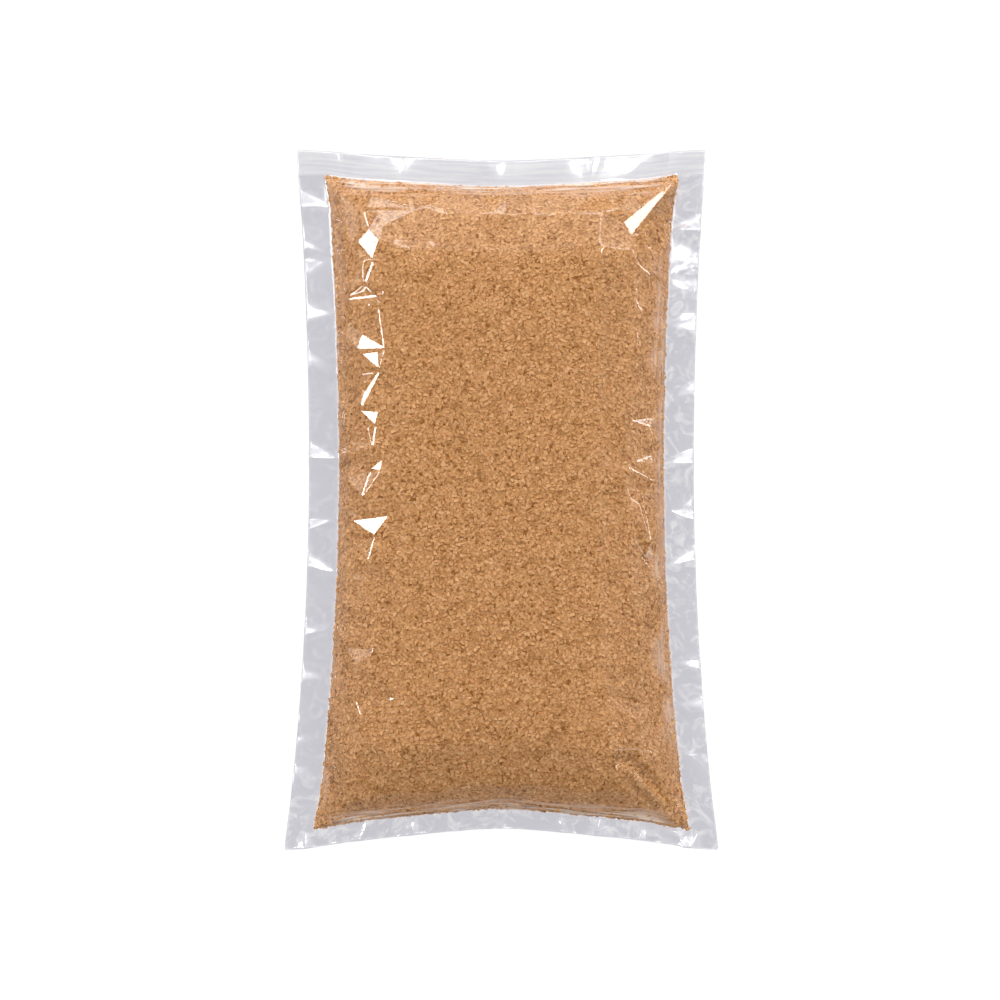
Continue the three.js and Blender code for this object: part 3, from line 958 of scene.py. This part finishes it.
def film_material():
    """Clear film with a gloss on both faces, cloudy where it is welded, with painted light in the welded
    band's lighter head, right side and foot, and a pale coat beside the welds that is partly crumb dust
    and partly painted sheen.
    """
    material, tree, shader, output = new_material("clear_film")
    flat = add_node(tree, "ShaderNodeAttribute", attribute_name="flat").outputs["Vector"]
    place = add_node(tree, "ShaderNodeSeparateXYZ", {0: flat})
    side = FLAT_WIDTH / 2 - SIDE_BAND
    end = (FLAT_LENGTH - HEAD_BAND - FOOT_BAND) / 2
    centred = calc(tree, "ADD", place.outputs["Y"], (HEAD_BAND - FOOT_BAND) / 2)
    across = calc(tree, "ABSOLUTE", place.outputs["X"])
    along = calc(tree, "ABSOLUTE", centred)

    def stage(value, low, high):
        return grade(tree, value, low, high)

    def both(one, other, operation="MULTIPLY"):
        return calc(tree, operation, one, other, clamp=True)

    def streaks(stretch, low, high):
        drawn = add_node(tree, "ShaderNodeMapping", {"Vector": flat, "Scale": stretch}).outputs[0]
        streaky = add_node(tree, "ShaderNodeTexNoise", {"Vector": drawn, "Scale": 1, "Detail": 2})
        return stage(streaky.outputs[0], low, high)

    band = both(stage(across, side - 0.2, side + 0.2), stage(along, end - 0.2, end + 0.2), "MAXIMUM")
    head = stage(centred, end - 1, end + 1)

    # Streaks along the ends and the sides, left by the sealing bars and the folds beside them.
    end_streaks = streaks((0.035, 0.55, 1), 0.38, 0.62)
    side_streaks = streaks((0.45, 0.03, 1), 0.42, 0.7)
    near_end = both(stage(along, end - 11, end - 2), stage(across, side - 2, side - 14))
    near_side = both(stage(across, side - 7, side - 0.5), 0.6)
    folded = both(both(near_end, end_streaks), both(near_side, side_streaks), "MAXIMUM")

    # A wavy strip along the sides, where the film is slack and stands off the crumbs, with a painted pale
    # sheen.
    waves = add_node(tree, "ShaderNodeTexNoise", {"Vector": flat, "Scale": 0.045, "Detail": 1}).outputs[0]
    wavy = calc(tree, "MULTIPLY_ADD", waves, 24, across)
    slack_along = both(stage(along, 138, 108), stage(place.outputs["X"], -150, 60))
    slack = both(both(stage(wavy, side + 1, side + 7), slack_along), both(side_streaks, 0.4, "ADD"))
    hazy = both(folded, both(slack, 0.5), "MAXIMUM")
    # A pale pinkish coat beside the welds, partly crumb dust on the film and partly painted sheen for the
    # folded and slack film.
    dust_and_sheen = both(hazy, both(1.0, band, "SUBTRACT"))

    # The weld is streaked along the head and swirled along the foot and the right side. Its lighter tint
    # at the head and its lighter swirls, most of them on the right side and the foot, are painted light.
    cloudy_with_painted_light_head = blend(tree, head, SIDE_TINT, HEAD_PAINTED_LIGHT_TINT)
    streaked = blend(tree, end_streaks, cloudy_with_painted_light_head, STREAK_TINT)
    turbid = {"Vector": flat, "Scale": 0.1, "Detail": 2, "Distortion": 2.0}
    swirls = add_node(tree, "ShaderNodeTexNoise", turbid).outputs[0]
    # The lighter swirls are set mostly on the right side and the foot, as painted light; elsewhere they
    # are the weld's cloudiness.
    painted_light_part = both(stage(place.outputs["X"], -140, 100), stage(centred, -130, 5 - end), "MAXIMUM")
    swirl_and_painted_light = both(stage(swirls, 0.48, 0.7), both(painted_light_part, 0.15, "ADD"))
    swirled_with_painted_light = blend(tree, swirl_and_painted_light, DULL_TINT, SWIRL_PAINTED_LIGHT_TINT)
    tint = blend(tree, band, CLEAR_TINT, blend(tree, head, swirled_with_painted_light, streaked))
    clear = add_node(tree, "ShaderNodeBsdfTransparent", {"Color": tint})

    # A film reflects from both of its faces, alike from inside and outside.
    facing = add_node(tree, "ShaderNodeLayerWeight", {"Blend": 0.5})
    grazing = calc(tree, "POWER", facing.outputs["Facing"], 4.5)
    plain = calc(tree, "MULTIPLY_ADD", band, FILM_GLOSS, FILM_GLOSS)
    mirror = calc(tree, "MULTIPLY_ADD", grazing, 0.8, plain)
    # Where the coat of crumb dust and painted sheen lies, it takes the place of the gloss.
    dust_and_sheen_share = stage(dust_and_sheen, 0.0, 0.15)
    tree.links.new(blend(tree, dust_and_sheen_share, (1, 1, 1), DUST_AND_SHEEN_COLOUR), shader.inputs["Base Color"])
    tree.links.new(both(1.0, dust_and_sheen_share, "SUBTRACT"), shader.inputs["Metallic"])
    roughness = calc(tree, "MULTIPLY_ADD", band, BAND_ROUGHNESS, FILM_ROUGHNESS)
    tree.links.new(roughness, shader.inputs["Roughness"])
    cover = both(mirror, dust_and_sheen, "MAXIMUM")
    mix = add_node(tree, "ShaderNodeMixShader", {0: cover, 1: clear.outputs[0], 2: shader.outputs[0]})
    tree.links.new(mix.outputs[0], output.inputs["Surface"])
    return material


def toasted_crumb():
    """Shared colour and relief of the crumbs: each has its tone, mottled, with some burnt ones."""
    tree = bpy.data.node_groups.new("toasted_crumb", "ShaderNodeTree")
    tone_socket = tree.interface.new_socket("Tone", in_out="INPUT", socket_type="NodeSocketFloat")
    tone_socket.default_value = 0.5
    tree.interface.new_socket("Color", in_out="OUTPUT", socket_type="NodeSocketColor")
    tree.interface.new_socket("Height", in_out="OUTPUT", socket_type="NodeSocketFloat")
    tone = add_node(tree, "NodeGroupInput").outputs["Tone"]
    where = add_node(tree, "ShaderNodeTexCoord").outputs["Object"]
    fine = {"Vector": where, "Scale": 850, "Detail": 2, "Roughness": 0.6}
    mottle = add_node(tree, "ShaderNodeTexNoise", fine).outputs[0]
    patches = add_node(tree, "ShaderNodeTexNoise", {"Vector": where, "Scale": 150, "Detail": 3}).outputs[0]
    own = calc(tree, "MULTIPLY_ADD", tone, 0.6, -0.26)
    mottled = calc(tree, "MULTIPLY_ADD", mottle, 0.8, own)
    patchy = calc(tree, "MULTIPLY_ADD", patches, 0.6, mottled)
    ramp = add_node(tree, "ShaderNodeValToRGB", {"Fac": calc(tree, "SUBTRACT", patchy, 0.25)})
    stops = ramp.color_ramp.elements
    stops[0].position = 0.05
    stops[0].color = (*CRUMB_COLOURS[0], 1)
    stops[1].position = 0.95
    stops[1].color = (*CRUMB_COLOURS[-1], 1)
    for i, colour in enumerate(CRUMB_COLOURS[1:-1]):
        stop = stops.new(0.05 + 0.9 * (i + 1) / (len(CRUMB_COLOURS) - 1))
        stop.color = (*colour, 1)
    burnt = calc(tree, "LESS_THAN", tone, BURNT_SHARE)
    result = add_node(tree, "NodeGroupOutput")
    tree.links.new(blend(tree, burnt, ramp.outputs["Color"], BURNT_COLOUR), result.inputs["Color"])
    tree.links.new(mottle, result.inputs["Height"])
    return tree


def crumb_material(name, look, depth, tone=None):
    """Dry crumbs. Each loose one has its own tone; the mass below has one given tone all over, a dark one
    that is painted shade in the gaps between the loose crumbs.
    """
    material, tree, shader, _ = new_material(name)
    crumb = add_node(tree, "ShaderNodeGroup", node_tree=look)
    if tone is None:
        own = add_node(tree, "ShaderNodeAttribute", attribute_name="tone")
        tree.links.new(own.outputs["Fac"], crumb.inputs["Tone"])
    else:
        crumb.inputs["Tone"].default_value = tone
    relief = add_node(tree, "ShaderNodeBump", {"Height": crumb.outputs["Height"], "Distance": depth * MM})
    tree.links.new(crumb.outputs["Color"], shader.inputs["Base Color"])
    tree.links.new(relief.outputs[0], shader.inputs["Normal"])
    shader.inputs["Roughness"].default_value = 0.85
    shader.inputs["Specular IOR Level"].default_value = 0.25
    return material


def softbox(name, place, size, radiance):
    """A rectangular light of an even brightness, turned towards the pouch."""
    light = bpy.data.lights.new(name, "AREA")
    light.shape = "RECTANGLE"
    light.size, light.size_y = size
    light.energy = radiance * math.pi * size[0] * size[1]
    obj = bpy.data.objects.new(name, light)
    obj.location = place
    direction = Vector(LIT_PLACE) - Vector(place)
    obj.rotation_euler = direction.to_track_quat("-Z", "Y").to_euler()
    bpy.context.scene.collection.objects.link(obj)


def surroundings():
    """A white studio, brighter towards its head and its right, and dim in the film's reflections."""
    world = bpy.data.worlds.new("studio")
    world.use_nodes = True
    tree = world.node_tree
    seen = add_node(tree, "ShaderNodeLightPath")
    way = add_node(tree, "ShaderNodeTexCoord").outputs["Generated"]
    heading = add_node(tree, "ShaderNodeSeparateXYZ", {0: way})
    x, y, z = (heading.outputs[axis] for axis in "XYZ")

    round_about = grade(tree, z, 1.0, 0.3, 0.44, 0.535)
    from_foot = grade(tree, y, -0.6, 0.0, 1.35, 1.0, "SMOOTHSTEP")
    from_head = grade(tree, y, 0.15, 0.9, 0.0, 0.9, "SMOOTHSTEP")
    all_round = calc(tree, "ADD", calc(tree, "MULTIPLY", round_about, from_foot), from_head)
    from_right = grade(tree, x, -0.8, 0.8, 0.8, 1.24)
    sky = calc(tree, "MULTIPLY", all_round, from_right)

    aloft = grade(tree, z, 1.0, 0.6, 0.15, 0.7)
    behind = grade(tree, y, -0.6, 0.0, 0.15, 1.0)
    muted = calc(tree, "MULTIPLY", aloft, behind)
    reflected = {0: seen.outputs["Is Glossy Ray"], 2: 1.0, 3: muted}
    mirrored = add_node(tree, "ShaderNodeMix", reflected, data_type="FLOAT").outputs[0]
    shown = calc(tree, "MULTIPLY", sky, mirrored)
    looked_at = {0: seen.outputs["Is Camera Ray"], 2: shown, 3: 1.0}
    level = add_node(tree, "ShaderNodeMix", looked_at, data_type="FLOAT").outputs[0]
    background = tree.nodes["Background"]
    tree.links.new(level, background.inputs["Strength"])
    background.inputs["Color"].default_value = (1, 1, 1, 1)
    bpy.context.scene.world = world


def white_floor():
    """A floor that glows white in the picture, less where it lights the pouch or is reflected."""
    bm = bmesh.new()
    bmesh.ops.create_grid(bm, x_segments=1, y_segments=1, size=4)
    mesh = finished_mesh("floor", bm)
    material, tree, shader, _ = new_material("floor_white")
    seen = add_node(tree, "ShaderNodeLightPath")
    glow = calc(tree, "MULTIPLY_ADD", seen.outputs["Is Camera Ray"], 0.5, 0.45)
    mirrored_glow = calc(tree, "MULTIPLY_ADD", seen.outputs["Is Glossy Ray"], -0.3, glow)
    tree.links.new(mirrored_glow, shader.inputs["Emission Strength"])
    shader.inputs["Base Color"].default_value = (FLOOR_SHADE, FLOOR_SHADE, FLOOR_SHADE, 1)
    shader.inputs["Roughness"].default_value = 1
    shader.inputs["Specular IOR Level"].default_value = 0
    shader.inputs["Emission Color"].default_value = (1, 1, 1, 1)
    mesh.materials.append(material)
    floor = link("floor", mesh)


def studio():
    bpy.context.scene.view_settings.view_transform = "Standard"
    surroundings()
    for name, (place, size, radiance) in SOFTBOXES.items():
        softbox(name, place, size, radiance)
    white_floor()


def camera():
    """Straight above, far off, with half a metre across the picture at the height of the weld."""
    view = bpy.data.cameras.new("camera")
    view.sensor_width = SENSOR
    view.lens = SENSOR * VIEW_DISTANCE / VIEW_WIDTH
    obj = bpy.data.objects.new("camera", view)
    obj.location = (VIEW_MIDDLE, 0, VIEW_DISTANCE + WELD_LEVEL)
    bpy.context.scene.collection.objects.link(obj)
    bpy.context.scene.camera = obj


def corners(bounds):
    return [[float(value) for value in corner] for corner in bounds]


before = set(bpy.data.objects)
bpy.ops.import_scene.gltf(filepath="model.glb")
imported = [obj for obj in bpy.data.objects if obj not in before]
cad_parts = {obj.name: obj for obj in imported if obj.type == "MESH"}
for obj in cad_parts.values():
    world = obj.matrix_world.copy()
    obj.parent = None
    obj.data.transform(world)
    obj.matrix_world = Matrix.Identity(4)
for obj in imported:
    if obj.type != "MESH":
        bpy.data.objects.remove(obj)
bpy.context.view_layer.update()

camera()
studio()
settled = settled_pouch()
fit_outline(settled)
facets = film_facets(settled)
film = film_piece(settled, facets)
film.data.materials.clear()
film.data.materials.append(film_material())
mass = crumb_mass(settled, facets)
mass.data.materials.clear()
look = toasted_crumb()
# The mass gets a dark tone all over: painted shade where it shows between the loose crumbs.
mass.data.materials.append(crumb_material("crumb_mass", look, MASS_RELIEF, tone=MASS_PAINTED_SHADE_TONE))
loose_look = crumb_material("loose_crumbs", look, CRUMB_RELIEF)
pieces = [film, mass]
for kind, (name, size, bend, density, spacing) in enumerate(CRUMBS):
    shape = chip(name, 40 + kind, size, bend)
    pieces.append(strewn_crumbs(mass, shape, density, spacing, 11 + 10 * kind, loose_look))
for piece in pieces:
    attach(piece, "root")
    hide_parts("bag")
